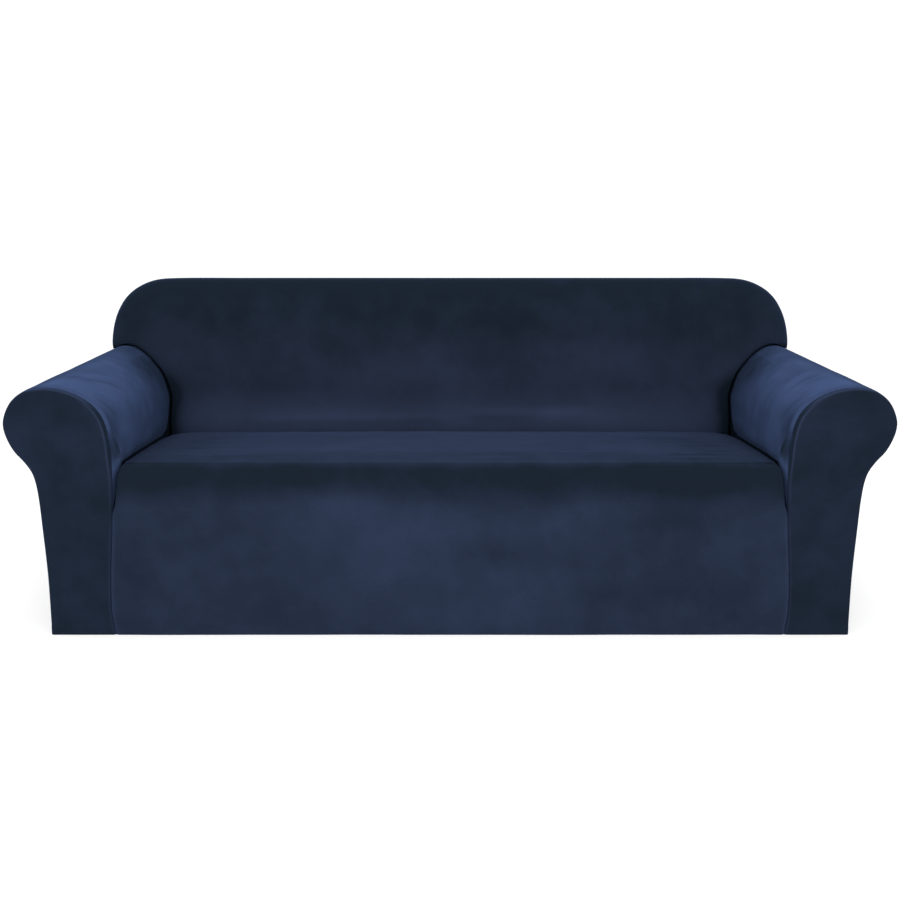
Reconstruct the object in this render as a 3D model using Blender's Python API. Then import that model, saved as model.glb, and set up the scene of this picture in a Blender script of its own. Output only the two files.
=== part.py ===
"""Stretch velvet slipcover for a three-seat sofa with rolled arms.

The cover is built as it sits on the sofa, without the sofa. Every panel is a
2 mm sheet whose outer face carries the drawn size. X runs along the sofa, the
front faces -Y, and Z is measured up from the hem.
"""

import math

import bmesh
import bpy

# Driving dimensions, metres.
DEPTH = 0.880          # front plane to rear plane
TOP = 0.8195           # top of the back above the hem
CLOTH = 0.002          # velvet with its knitted ground
SEAM = 0.0003          # gap left between two sewn edges
NEST = 0.0007          # gap left between two cloths in one tuck
PIPE = 0.0065          # rounding of a sewn outer edge
LIP = 0.0080           # depth at which a front panel ends
SEAT_FRONT = 0.434     # seat height at its front edge
SEAT_FALL = 0.0800     # fall of the seat per metre of depth
SEAT_DEPTH = 0.573     # front plane to the foot of the back
CROWN = 0.012          # rise of the seat in its middle
HEEL = 0.028           # rounding of the seat's rear edge
SHOULDER = 0.022       # rounding of the seat's side edges
TUCK = 0.026           # depth of the tucks beside and behind the seat
SWELL = 0.008          # arm cloth standing proud of its front seam
LIFT = 0.016           # rise of the roll towards the rear
BACK_EDGE = 0.045      # rounding of the back's front edge
GROOVE = 0.009         # rounding of the back beside the arms
REAR_FALL = 0.022      # fall of the back's top towards the rear

# Section of an arm, from its inner foot over the roll to its outer foot.
# out: from the middle of the sofa, up: above the hem.
ARM = [
    (0.8220, 0.000),
    (0.8290, 0.060),
    (0.8240, 0.166),
    (0.8150, 0.260),
    (0.8090, 0.360),
    (0.8070, 0.440),
    (0.8100, 0.495),
    (0.8240, 0.546),
    (0.8530, 0.580),
    (0.8950, 0.603),
    (0.9430, 0.613),
    (0.9960, 0.607),
    (1.0320, 0.581),
    (1.0530, 0.538),
    (1.0520, 0.505),
    (1.0350, 0.464),
    (1.0100, 0.433),
    (0.9940, 0.405),
    (0.9860, 0.360),
    (0.9815, 0.260),
    (0.9785, 0.150),
    (0.9805, 0.000),
]

# Front edge of the seat from its drop to its top. depth, up, and the angle
# below level at which the cloth's side is tucked in.
NOSE = [
    (0.0000, 0.335, 0),
    (0.0000, 0.360, 3),
    (0.0012, 0.385, 10),
    (0.0048, 0.407, 24),
    (0.0112, 0.4265, 38),
    (0.0135, 0.4310, 44),
    (0.0180, 0.4326, 50),
    (0.0260, 0.4319, 62),
    (0.0350, 0.4312, 75),
    (0.0480, 0.4302, 86),
]

# Foot of the arm's inner face beside the seat. depth, out.
FOOT = [(0.02, 0.787), (0.06, 0.790), (0.15, 0.796), (0.36, 0.804), (0.60, 0.812)]

# The same face where it runs out in a point on the front. up, out.
TAIL = [(0.300, 0.8120), (0.321, 0.8075), (0.363, 0.8010), (0.402, 0.7950), (0.437, 0.7870)]

# Lower edge of the arm cover beside the seat. depth, up.
ARM_EDGE = [(0.008, 0.303), (0.014, 0.325), (0.022, 0.352), (0.035, 0.380), (0.050, 0.390)]

# Face of the back from the seat to its rounded top. up, depth.
FACE = [
    (0.350, 0.5735),
    (0.388, 0.5730),
    (0.450, 0.5710),
    (0.520, 0.5740),
    (0.600, 0.5820),
    (0.680, 0.5950),
    (0.740, 0.6110),
    (0.780, 0.6270),
]

# Right half of the back's outline above the arm. out, up.
BACK = [
    (0.9650, 0.650),
    (0.9620, 0.688),
    (0.9525, 0.726),
    (0.9330, 0.763),
    (0.9035, 0.791),
    (0.8610, 0.811),
    (0.8110, 0.8185),
    (0.6000, TOP),
    (0.0000, TOP),
]


def blend(low, high, value):
    """Smooth step from 0 at low to 1 at high."""
    t = min(max((value - low) / (high - low), 0.0), 1.0)
    return t * t * (3 - 2 * t)


def mix(a, b, t):
    """Point or number at fraction t between a and b."""
    if isinstance(a, tuple):
        return tuple(p + (q - p) * t for p, q in zip(a, b))
    return a + (b - a) * t


def curve(points, t):
    """Smooth curve through the points, t from 0 to 1 along its chords."""
    marks = [0.0]
    for a, b in zip(points, points[1:]):
        marks.append(marks[-1] + math.dist(a, b))
    place = min(max(t, 0.0), 1.0) * marks[-1]
    i = max(k for k in range(len(points) - 1) if marks[k] <= place)
    span = marks[i + 1] - marks[i]
    f = (place - marks[i]) / span

    def slope(k, axis):
        a, b = max(k - 1, 0), min(k + 1, len(points) - 1)
        return (points[b][axis] - points[a][axis]) / (marks[b] - marks[a])

    result = []
    for axis in (0, 1):
        p, q = points[i][axis], points[i + 1][axis]
        m, n = slope(i, axis) * span, slope(i + 1, axis) * span
        result.append(
            p * (1 + 2 * f) * (1 - f) ** 2
            + m * f * (1 - f) ** 2
            + q * f * f * (3 - 2 * f)
            - n * f * f * (1 - f)
        )
    return tuple(result)


def normal(points, t):
    """Left-hand normal of the curve at t."""
    a, b = curve(points, max(t - 0.004, 0.0)), curve(points, min(t + 0.004, 1.0))
    size = math.dist(a, b)
    return (a[1] - b[1]) / size, (b[0] - a[0]) / size


def look(rows, key):
    """Second column of a two-column table at a value of its first."""
    low, high = rows[0][0], rows[-1][0]
    if key <= low:
        return rows[0][1]
    if key >= high:
        return rows[-1][1]
    i = max(k for k in range(len(rows) - 1) if rows[k][0] <= key)

    def slope(k):
        a, b = max(k - 1, 0), min(k + 1, len(rows) - 1)
        return (rows[b][1] - rows[a][1]) / (rows[b][0] - rows[a][0])

    span = rows[i + 1][0] - rows[i][0]
    f = (key - rows[i][0]) / span
    return (
        rows[i][1] * (1 + 2 * f) * (1 - f) ** 2
        + slope(i) * span * f * (1 - f) ** 2
        + rows[i + 1][1] * f * f * (3 - 2 * f)
        - slope(i + 1) * span * f * f * (1 - f)
    )


def find(points, axis, value, low, high):
    """Parameter between low and high where the curve reaches a value."""
    rising = curve(points, high)[axis] > curve(points, low)[axis]
    for _ in range(40):
        middle = (low + high) / 2
        if (curve(points, middle)[axis] < value) == rising:
            low = middle
        else:
            high = middle
    return (low + high) / 2


CROWN_S = find(ARM, 0, 0.943, 0.25, 0.60)      # top of the roll
NECK_S = find(ARM, 1, 0.500, 0.15, CROWN_S)    # inner face meets the roll
OUTER_S = find(ARM, 1, 0.420, 0.60, 0.85)      # outer face meets the roll
STAND_S = find(ARM, 0, 0.9650, CROWN_S, 0.60)  # side of the back stands here
INNER = [curve(ARM, NECK_S * k / 40) for k in range(41)]
DROP = [0.0, 0.050, 0.120, 0.210]              # rows shared along the front seam
COLUMNS = (5, 19, 7)                           # inner face, roll, outer face
DEEP = [0.013, 0.019, 0.026, 0.035, 0.048, 0.072, 0.12, 0.20, 0.30, 0.40, 0.49, 0.545]


def seat_level(depth):
    """Height of the seat at its sides."""
    return SEAT_FRONT - SEAT_FALL * depth


def swell(depth):
    """How far the arm cloth stands out of its end seams."""
    front = 1 - math.exp(-max(depth - LIP, 0.0) / 0.012)
    rear = 1 - math.exp(-max(DEPTH - LIP - depth, 0.0) / 0.020)
    return SWELL * front * rear


def inner_seam(up):
    """Inner seam of the arm's front panel at a height below the roll."""
    rows = [(z, x) for x, z in INNER]
    return look(rows, up)


def wall(depth, up):
    """Inner face of the arm below the roll."""
    seam = inner_seam(up)
    plain = seam - swell(depth)
    foot = mix(look(TAIL, up), look(FOOT, depth), blend(0.03, 0.16, depth))
    foot = mix(foot, look(FOOT, depth), blend(0.425, 0.455, up))
    low = blend(0.500, seat_level(depth) + 0.012, up)
    front = blend(LIP, 0.030, depth)
    if up < TAIL[0][0]:
        return seam
    tail = blend(TAIL[0][0], TAIL[1][0], up)
    return mix(seam, mix(plain, foot, low), front * tail)


def section(depth, s):
    """Point and outward normal of the arm's cloth at a depth."""
    x, z = curve(ARM, s)
    nx, nz = normal(ARM, s)
    if s <= NECK_S:
        return (wall(depth, z), z), (nx, nz)
    out = swell(depth) * max(blend(1.000, 0.930, x), 0.15)
    rise = LIFT * blend(0.02, 0.56, depth) * blend(0.50, 0.60, z) * blend(1.000, 0.890, x)
    return (x + nx * out, z + nz * out + rise), (nx, nz)


def face(x, z):
    """Depth of the back's face, fuller in its middle."""
    full = 0.006 * (1 - (x / 0.97) ** 2) * blend(0.42, 0.55, z) * blend(0.82, 0.66, z)
    return look(FACE, z) - full


# Mesh helpers.


def panel(name, points, faces, flip=False):
    """Give a sheet of points and faces its thickness and place it."""
    cloth = bmesh.new()
    for x, depth, z in points:
        cloth.verts.new((x, depth - DEPTH / 2, z))
    cloth.verts.ensure_lookup_table()
    for quad in faces:
        cloth.faces.new([cloth.verts[k] for k in quad])
    if flip:
        bmesh.ops.reverse_faces(cloth, faces=cloth.faces[:])
    cloth.normal_update()
    outer = cloth.faces[:]
    rims = [loop for face in outer for loop in face.loops if loop.edge.is_boundary]
    rims = [(loop.vert, loop.link_loop_next.vert) for loop in rims]
    lining = {}
    for vert in cloth.verts[:]:
        place = vert.co - vert.normal * CLOTH * min(vert.calc_shell_factor(), 1.1)
        lining[vert] = (place.x, place.y, max(place.z, 0.0))
    for vert, place in lining.items():
        lining[vert] = cloth.verts.new(place)
    for quad in outer:
        cloth.faces.new([lining[vert] for vert in reversed(quad.verts[:])])
    for a, b in rims:
        cloth.faces.new((b, a, lining[a], lining[b]))
    mesh = bpy.data.meshes.new(name)
    cloth.to_mesh(mesh)
    cloth.free()
    mesh.materials.append(VELVET)
    COVER.objects.link(bpy.data.objects.new(name, mesh))


def grid_faces(wide, high, keep=None):
    """Quads of a grid that is wide by high points."""
    faces = []
    for j in range(high - 1):
        for i in range(wide - 1):
            if keep is None or keep(i, j):
                a = j * wide + i
                faces.append((a, a + 1, a + wide + 1, a + wide))
    return faces


def coons(bottom, top, left, right, wide, high, fade=1):
    """Points of a patch between four edges, each a function of 0 to 1.

    The bend of the side edges dies away across the patch, faster for a
    greater fade.
    """
    points = []
    for j in range(high):
        v = j / (high - 1)
        bends = []
        for side, edge in ((0, left), (1, right)):
            plain = mix(bottom(side), top(side), v)
            bends.append([a - b for a, b in zip(edge(v), plain)])
        for i in range(wide):
            u = i / (wide - 1)
            near = (1 - u) ** fade, u ** fade
            row = mix(bottom(u), top(u), v)
            points.append(tuple(
                row[k] + near[0] * bends[0][k] + near[1] * bends[1][k] for k in (0, 1)
            ))
    return points


def fringe(points, faces, chain, rings, first=0, last=None):
    """Grow strips of quads from a chain of point numbers.

    rings[k][c] is the place of the chain's point c in ring k; the strips run
    from chain place first to chain place last.
    """
    last = len(chain) - 1 if last is None else last
    held = dict(enumerate(chain))
    for ring in rings:
        new = {}
        for c in range(first, last + 1):
            new[c] = len(points)
            points.append(ring[c])
        for c in range(first, last):
            faces.append((held[c], held[c + 1], new[c + 1], new[c]))
        held = new
    return held


def edge_chain(wide, high):
    """Border of a grid from its lower left, over its top, to its lower right."""
    left = [j * wide for j in range(high)]
    top = [(high - 1) * wide + i for i in range(1, wide)]
    right = [j * wide + wide - 1 for j in range(high - 2, -1, -1)]
    return left + top + right


# Panels.


def seat_front():
    """Seat and front drop in one length of cloth, tucked in at its sides."""
    rear = SEAT_DEPTH - SEAM
    rows = [(0.0, up, 0) for up in DROP + [ARM_EDGE[0][1]]] + NOSE
    rows += [(depth, seat_level(depth), 90) for depth in DEEP if 0.06 < depth < 0.52]
    low = seat_level(rear - HEEL) - HEEL
    for k in range(5):
        a = math.radians(22.5 * k)
        place = rear - HEEL + HEEL * math.sin(a), low + HEEL * math.cos(a)
        rows.append(place + (90 + 22.5 * k,))
    rows.append((rear, low - 0.010, 180))

    def edge(depth, up):
        return wall(max(depth, 0.030), up) - mix(SEAM, NEST, blend(0.30, 0.34, up))

    points = []
    for depth, up, angle in rows:
        dy, dz = math.cos(math.radians(angle)), -math.sin(math.radians(angle))
        level = blend(20, 80, angle)
        turn = mix(PIPE + 0.0015, SHOULDER, level)
        tuck = mix(0.0095, TUCK, blend(0.30, 0.345, up))
        reach = edge(depth + dy * turn, up + dz * turn)
        side = [(edge(depth + dy * tuck, up + dz * tuck), depth + dy * tuck, up + dz * tuck)]
        for k in range(5):
            a = math.radians(22.5 * k)
            b = turn * (1 - math.sin(a))
            x = reach - turn * (1 - math.cos(a))
            side.append((x, depth + dy * b, up + dz * b))
        middle = []
        for k in range(1, 15):
            u = -1 + 2 * k / 15
            crown = CROWN * (1 - u ** 4) * blend(0.02, 0.12, depth)
            crown *= 1 - 0.75 * blend(0.40, 0.555, depth)
            middle.append((side[-1][0] * u, depth, up + crown))
        points += [(-x, y, z) for x, y, z in side]
        points += middle
        points += side[::-1]
    wide = len(points) // len(rows)
    panel("seat_front", points, grid_faces(wide, len(rows)))


def arm_column(i, depth):
    """Place along the arm's section of its column i at a depth."""
    if i >= COLUMNS[0] + COLUMNS[1]:
        return mix(OUTER_S, 1.0, (i - COLUMNS[0] - COLUMNS[1]) / (COLUMNS[2] - 1))
    if i >= COLUMNS[0]:
        return mix(NECK_S, OUTER_S, (i - COLUMNS[0]) / COLUMNS[1])
    under = mix(look(ARM_EDGE, depth), seat_level(depth) - 0.040, blend(0.04, 0.08, depth))
    return mix(find(ARM, 1, under, 0.0, NECK_S), NECK_S, i / COLUMNS[0])


def arm_cover(side, name):
    """Cloth of one arm, cut away where the back stands on it."""
    points = []
    cut = 0
    fronts = [LIP + SEAM] + DEEP
    rows = len(fronts) + 5
    for j in range(rows):
        for i in range(sum(COLUMNS)):
            up = min(max(curve(ARM, arm_column(i, 0.5))[1], 0.45), 0.63)
            end = face(0.85, up) + TUCK
            if j < len(fronts):
                depth = fronts[j]
            else:
                depth = mix(end, DEPTH - LIP - SEAM, (j - len(fronts)) / 4)
            s = arm_column(i, depth)
            (x, z), _ = section(depth, s)
            if x < 0.950 and s < CROWN_S + 0.02:
                cut = max(cut, i)
            points.append((x * side, depth, z))

    def keep(i, j):
        return j < len(fronts) or i >= cut

    faces = grid_faces(sum(COLUMNS), rows, keep)
    used = sorted({k for quad in faces for k in quad})
    number = {old: new for new, old in enumerate(used)}
    points = [points[k] for k in used]
    faces = [tuple(number[k] for k in quad) for quad in faces]
    panel(name, points, faces, flip=side < 0)


def arm_front(side, name):
    """Scroll-shaped panel that closes the front of one arm."""
    places = [find(ARM, 1, up, 0.0, NECK_S) for up in DROP]
    places += [arm_column(i, LIP + SEAM) for i in range(sum(COLUMNS))]
    high = 14
    wide = len(places) - 2 * (high - 1)

    def inset(place, by):
        i = min(int(place), len(places) - 2)
        s = mix(places[i], places[i + 1], place - i)
        (x, z), (nx, nz) = curve(ARM, s), normal(ARM, s)
        if s < 0.001 or s > 0.999:
            nx, nz = (-1.0 if s < 0.5 else 1.0), 0.0
        return x - nx * by + SEAM / 2 * (s < NECK_S), z - nz * by

    def left(v):
        return inset((high - 1) * v, PIPE)

    def right(v):
        return inset(mix(len(places) - 1, high + wide - 2, v), PIPE)

    def top(u):
        return inset(mix(high - 1, high + wide - 2, u), PIPE)

    def bottom(u):
        return mix(left(0), right(0), u)

    flat = coons(bottom, top, left, right, wide, high)
    points = [(x, 0.0, z) for x, z in flat]
    faces = grid_faces(wide, high)
    rings = []
    for k in (1, 2, 3):
        a = math.radians(min(45 * k, 90))
        y = PIPE * (1 - math.cos(a)) if k < 3 else LIP
        ring = [inset(c, PIPE * (1 - math.sin(a))) for c in range(len(places))]
        rings.append([(x, y, z) for x, z in ring])
    fringe(points, faces, edge_chain(wide, high), rings)
    points = [(x * side, depth, max(z, 0.0)) for x, depth, z in points]
    panel(name, points, faces, flip=side < 0)


def back_edge(s, depth):
    """Edge of the back beside the arm, and where its rounding starts."""
    (x, z), (nx, nz) = section(depth, s)
    corner = blend(0.88, 0.974, x) * (s > NECK_S)
    out = (x + nx * NEST, z + nz * NEST + 0.0008 * corner)
    inner = out[0] + nx * GROOVE - 0.018 * corner, out[1] + nz * GROOVE + 0.009 * corner
    return out, inner


def back_top(u, depth, drop):
    """Outline of the back above the arms from left to right, set in by drop."""
    corner = back_edge(STAND_S, depth)[0]
    half = [corner] + BACK
    outline = half + [(-x, z) for x, z in half[-2::-1]]
    bend = 0.160
    if u < 1 / 3:
        t = 3 * u * bend
    elif u > 2 / 3:
        t = 1 - (3 - 3 * u) * bend
    else:
        t = mix(bend, 1 - bend, 3 * u - 1)
    x, z = curve(outline, 1 - t)
    nx, nz = normal(outline, 1 - t)
    z -= REAR_FALL * blend(0.66, DEPTH, depth) * blend(0.64, 0.80, z)
    return x + nx * drop, z + nz * drop


def inside_back():
    """Cloth over the front, top and sides of the back."""
    foot = face(0.85, 0.45)
    stops = []
    for i in range(sum(COLUMNS)):
        if arm_column(i, foot) < STAND_S - 0.008:
            stops.append(arm_column(i, foot))
    stops.append(STAND_S)
    wide, high, deep = 25, len(stops), 4
    corner = back_edge(STAND_S, foot)[1]

    def side(v):
        place = v * (high - 1)
        i = min(int(place), high - 2)
        return mix(stops[i], stops[i + 1], place - i)

    def right(v):
        return back_edge(side(v), foot)[1]

    def left(v):
        x, z = right(v)
        return -x, z

    def top(u):
        near = min(u, 1 - u)
        drop = mix(0.018, BACK_EDGE, blend(0.0, 0.15, near))
        end = (corner[0] * (1 if u > 0.5 else -1), corner[1])
        return mix(end, back_top(u, foot, drop), blend(0.0, 0.06, near))

    def bottom(u):
        return mix(left(0), right(0), u)

    flat = coons(bottom, top, left, right, wide, high, fade=3)
    points = [(x, face(x, z), z) for x, z in flat]
    faces = grid_faces(wide, high)
    chain = edge_chain(wide, high)
    starts = [points[k] for k in chain]
    rings = []
    for k in range(1, 6):
        a = math.radians(min(22.5 * k, 90))
        ring = []
        for c, (x, depth, z) in enumerate(starts):
            arc = min(c, len(starts) - 1 - c)
            if arc < high:
                s = side(arc / (high - 1))
                turn = mix(GROOVE, 0.020, blend(0.80, 1.0, arc / (high - 1)))
                y = depth + turn * (1 - math.cos(a))
                if k == 5:
                    y = max(depth + TUCK, y + 0.008)
                out = back_edge(s, y)[0]
                out = (math.copysign(out[0], x), out[1])
            else:
                turn = mix(0.020, BACK_EDGE + 0.010, blend(high - 1, high + 4, arc))
                y = depth + turn * (1 - math.cos(a)) + 0.008 * (k == 5)
                out = back_top((c - high + 1) / (wide - 1), y, 0.0)
            ring.append((mix(x, out[0], math.sin(a)), y, mix(z, out[1], math.sin(a))))
        rings.append(ring)
    held = fringe(points, faces, chain, rings)
    more = []
    for k in range(1, deep + 1):
        ring = []
        for c, (x, depth, z) in enumerate(rings[-1]):
            y = mix(depth, DEPTH - LIP - SEAM, k / deep)
            out = (x, z)
            if high - 1 <= c <= high + wide - 2:
                out = back_top((c - high + 1) / (wide - 1), y, 0.0)
            ring.append((out[0], y, out[1]))
        more.append(ring)
    border = [held[c] for c in range(len(starts))]
    fringe(points, faces, border, more, high - 1, high + wide - 2)
    panel("inside_back", points, faces)


def outside_back():
    """Panel that closes the rear, from the top of the back to the hem."""
    rear = DEPTH - LIP
    columns = [arm_column(i, rear) for i in range(sum(COLUMNS) - 1, COLUMNS[0], -1)]
    places = [s for s in columns if s > STAND_S + 0.008] + [STAND_S]
    low = len(places) - 1
    wide, high = 9, low + 9

    def right(j, by=PIPE):
        """Outline at row j, on the roll up to row low and then on the back."""
        if j >= low:
            return back_top(1 - (j - low) / (high - 1 - low) / 3, rear, by)
        (x, z), (nx, nz) = section(rear, places[j])
        if j == 0:
            nx, nz = 1.0, 0.0
        return x - nx * by, z - nz * by

    def top(i, by=PIPE):
        return back_top(mix(1 / 3, 2 / 3, i / (wide - 1)), rear, by)

    points = []
    for j in range(high):
        x, z = right(j)
        for i in range(wide):
            across = 2 * i / (wide - 1) - 1
            rise = (top(i)[1] - top(0)[1]) * blend(0.6, 1.0, j / (high - 1))
            points.append((x * across, DEPTH, z + rise))
    faces = grid_faces(wide, high)
    rings = []
    for k in (1, 2, 3):
        a = math.radians(min(45 * k, 90))
        by = PIPE * (1 - math.sin(a))
        y = DEPTH - PIPE * (1 - math.cos(a)) if k < 3 else rear
        sides = [right(j, by) for j in range(high)]
        ring = [(-x, y, max(z, 0.0)) for x, z in sides]
        ring += [(top(i, by)[0], y, top(i, by)[1]) for i in range(1, wide)]
        ring += [(x, y, max(z, 0.0)) for x, z in sides[-2::-1]]
        rings.append(ring)
    fringe(points, faces, edge_chain(wide, high), rings)
    panel("outside_back", points, faces, flip=True)


for old in list(bpy.data.objects):
    bpy.data.objects.remove(old, do_unlink=True)

VELVET = bpy.data.materials.new("navy_velvet")
VELVET.use_nodes = True
shade = VELVET.node_tree.nodes["Principled BSDF"]
shade.inputs["Base Color"].default_value = (0.018, 0.026, 0.052, 1.0)
shade.inputs["Roughness"].default_value = 0.85
shade.inputs["Sheen Weight"].default_value = 0.6

COVER = bpy.data.collections.new("sofa_slipcover")
bpy.context.scene.collection.children.link(COVER)

seat_front()
inside_back()
outside_back()
for SIDE, LABEL in ((-1, "left"), (1, "right")):
    arm_cover(SIDE, "arm_cover_" + LABEL)
    arm_front(SIDE, "arm_front_" + LABEL)
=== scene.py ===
import math

import bpy
import numpy as np
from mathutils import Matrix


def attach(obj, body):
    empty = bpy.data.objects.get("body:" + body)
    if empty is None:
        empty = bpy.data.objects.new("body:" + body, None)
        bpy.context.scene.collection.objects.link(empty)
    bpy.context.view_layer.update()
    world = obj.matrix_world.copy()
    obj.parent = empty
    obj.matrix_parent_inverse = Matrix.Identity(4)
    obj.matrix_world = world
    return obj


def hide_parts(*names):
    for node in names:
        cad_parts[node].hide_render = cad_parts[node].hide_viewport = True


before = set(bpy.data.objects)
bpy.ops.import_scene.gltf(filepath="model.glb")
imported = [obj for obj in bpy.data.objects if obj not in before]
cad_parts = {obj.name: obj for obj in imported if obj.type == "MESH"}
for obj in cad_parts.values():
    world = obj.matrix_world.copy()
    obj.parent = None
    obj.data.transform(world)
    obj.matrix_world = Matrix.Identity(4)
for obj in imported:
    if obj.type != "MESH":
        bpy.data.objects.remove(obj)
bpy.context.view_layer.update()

# The seven panels of the solids, drawn finer, with their relief, their nap with painted light and
# shade, and their velvet.
# X runs along the sofa, depth runs back from the front plane, and Z is up from the hem.

# Driving dimensions, metres. Those that the solids have too are the same there, unless it
# says otherwise.
DEPTH = 0.880          # front plane to rear plane
TOP = 0.8195           # top of the back above the hem
CLOTH = 0.002          # velvet with its knitted ground
RIM = 0.028            # border of a front panel that follows its seam
SEAM = 0.0003          # gap left between two sewn edges
NEST = 0.0007          # gap left between two cloths in one tuck
PIPE = 0.0065          # rounding of a sewn outer edge
LIP = 0.0080           # depth at which a front panel ends
SEAT_FRONT = 0.434     # seat height at its front edge
SEAT_FALL = 0.0800     # fall of the seat per metre of depth
SEAT_DEPTH = 0.573     # front plane to the foot of the back
CROWN = 0.012          # rise of the seat in its middle
HEEL = 0.028           # rounding of the seat's rear edge
SHOULDER = 0.014       # rounding of the seat's side edges, tighter than the solid's
DROP_SIDE = 0.0015     # what the front drop's side edges are rounded by beyond a sewn edge
TUCK = 0.026           # depth of the tucks beside and behind the seat
DROP_TUCK = 0.0095     # depth of the turned-in side edges of the front drop
TUCKED = 0.002         # what the seat's side edge covers of the arm cloth
SWELL = 0.008          # arm cloth standing proud of its front seam
LIFT = 0.016           # rise of the roll towards the rear
BACK_EDGE = 0.045      # rounding of the back's front edge
SIDE_EDGE = 0.020      # rounding of the same edge at its sides, above the arms
CORNER_EDGE = 0.018    # how far its lower corners are set in, beside the arms' tops
GROOVE = 0.006         # rounding of the back beside the arms, tighter than the solid's
REAR_FALL = 0.022      # fall of the back's top towards the rear
HEM = 0.020            # height of the hem's sewn line

# Section of an arm, from its inner foot over the roll to its outer foot. out, up.
ARM = [
    (0.8220, 0.000), (0.8290, 0.060), (0.8240, 0.166), (0.8150, 0.260), (0.8090, 0.360),
    (0.8070, 0.440), (0.8100, 0.495), (0.8240, 0.546), (0.8530, 0.580), (0.8950, 0.603),
    (0.9430, 0.613), (0.9960, 0.607), (1.0320, 0.581), (1.0530, 0.538), (1.0520, 0.505),
    (1.0350, 0.464), (1.0100, 0.433), (0.9940, 0.405), (0.9860, 0.360), (0.9815, 0.260),
    (0.9785, 0.150), (0.9805, 0.000),
]

# Front edge of the seat from its drop to its top. depth, up, and the angle below level at
# which the cloth's side is tucked in.
NOSE = [
    (0.0000, 0.335, 0), (0.0000, 0.360, 3), (0.0012, 0.385, 10), (0.0048, 0.407, 24),
    (0.0112, 0.4265, 38), (0.0135, 0.4310, 44), (0.0180, 0.4326, 50), (0.0260, 0.4319, 62),
    (0.0350, 0.4312, 75), (0.0480, 0.4302, 86),
]

# Foot of the arm's inner face beside the seat. depth, out.
FOOT = [(0.02, 0.787), (0.06, 0.790), (0.15, 0.796), (0.36, 0.804), (0.60, 0.812)]

# The same face where it runs out in a point on the front. up, out.
TAIL = [(0.300, 0.8120), (0.321, 0.8075), (0.363, 0.8010), (0.402, 0.7950), (0.437, 0.7870)]

# Lower edge of the arm cover beside the seat. depth, up.
ARM_EDGE = [(0.008, 0.303), (0.014, 0.325), (0.022, 0.352), (0.035, 0.380), (0.050, 0.390)]

# Face of the back from the seat to its rounded top. up, depth.
FACE = [
    (0.350, 0.5735), (0.388, 0.5730), (0.450, 0.5710), (0.520, 0.5740), (0.600, 0.5820),
    (0.680, 0.5950), (0.740, 0.6110), (0.780, 0.6270),
]

# Right half of the back's outline above the arm. out, up.
BACK = [
    (0.9650, 0.650), (0.9620, 0.688), (0.9525, 0.726), (0.9330, 0.763), (0.9035, 0.791),
    (0.8610, 0.811), (0.8110, 0.8185), (0.6000, TOP), (0.0000, TOP),
]


# Curves and tables.


def blend(low, high, value):
    """Smooth step from 0 at low to 1 at high."""
    t = np.clip((np.asarray(value, float) - low) / (high - low), 0.0, 1.0)
    return t * t * (3 - 2 * t)


def bump(middle, half, value):
    """Smooth hump that is 1 at its middle and 0 beyond half its width."""
    t = np.clip(np.abs(np.asarray(value, float) - middle) / half, 0.0, 1.0)
    return (1 - t * t) ** 2


def bell(distance, width):
    """1 at no distance, falling smoothly to both sides."""
    return np.exp(-(distance / width) ** 2)


def fall(distance, length):
    """1 up to no distance, falling away beyond it."""
    return np.exp(-np.maximum(distance, 0) / length)


def run(points):
    """Distance along a line at each of its points."""
    return np.concatenate([[0.0], np.cumsum(np.linalg.norm(np.diff(points, axis=0), axis=1))])


def smooth(marks, points, fine):
    """Cubic curve through points at their marks, as fine marks and the points there."""
    slope = np.empty_like(points)
    slope[1:-1] = (points[2:] - points[:-2]) / (marks[2:] - marks[:-2])[:, None]
    slope[0] = (points[1] - points[0]) / (marks[1] - marks[0])
    slope[-1] = (points[-1] - points[-2]) / (marks[-1] - marks[-2])
    places, line = [], []
    for i, span in enumerate(np.diff(marks)):
        f = np.linspace(0, 1, fine, endpoint=i == len(marks) - 2)[:, None]
        p, q, m, n = points[i], points[i + 1], slope[i] * span, slope[i + 1] * span
        line.append(
            p * (1 + 2 * f) * (1 - f) ** 2 + m * f * (1 - f) ** 2
            + q * f * f * (3 - 2 * f) - n * f * f * (1 - f)
        )
        places.append(marks[i] + f[:, 0] * span)
    return np.concatenate(places), np.concatenate(line)


class Curve:
    """Smooth curve through points, read by its chord length from 0 to 1."""

    def __init__(self, points, fine=240):
        points = np.array(points, float)
        places, self.line = smooth(run(points), points, fine)
        self.t = places / places[-1]
        self.walk = run(self.line)

    def at(self, t):
        t = np.clip(t, 0.0, 1.0)
        return [np.interp(t, self.t, self.line[:, k]) for k in range(self.line.shape[1])]

    def normal(self, t):
        """Left-hand normal at t."""
        a, b = self.at(np.asarray(t) - 0.004), self.at(np.asarray(t) + 0.004)
        x, z = a[1] - b[1], b[0] - a[0]
        size = np.hypot(x, z)
        return x / size, z / size

    def find(self, axis, value, low, high):
        """Place between low and high where the curve reaches a value."""
        rising = self.at(high)[axis] > self.at(low)[axis]
        for _ in range(40):
            middle = (low + high) / 2
            if (self.at(middle)[axis] < value) == rising:
                low = middle
            else:
                high = middle
        return (low + high) / 2

    def length(self, t):
        """Distance along the curve at t."""
        return np.interp(t, self.t, self.walk)

    def place(self, length):
        """Parameter at a distance along the curve."""
        return np.interp(length, self.walk, self.t)


def table(rows):
    """Function that reads a table's second column smoothly by its first."""
    rows = np.array(rows, float)
    places, line = smooth(rows[:, 0], rows[:, 1:], 60)
    return lambda key: np.interp(key, places, line[:, 0])


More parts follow.
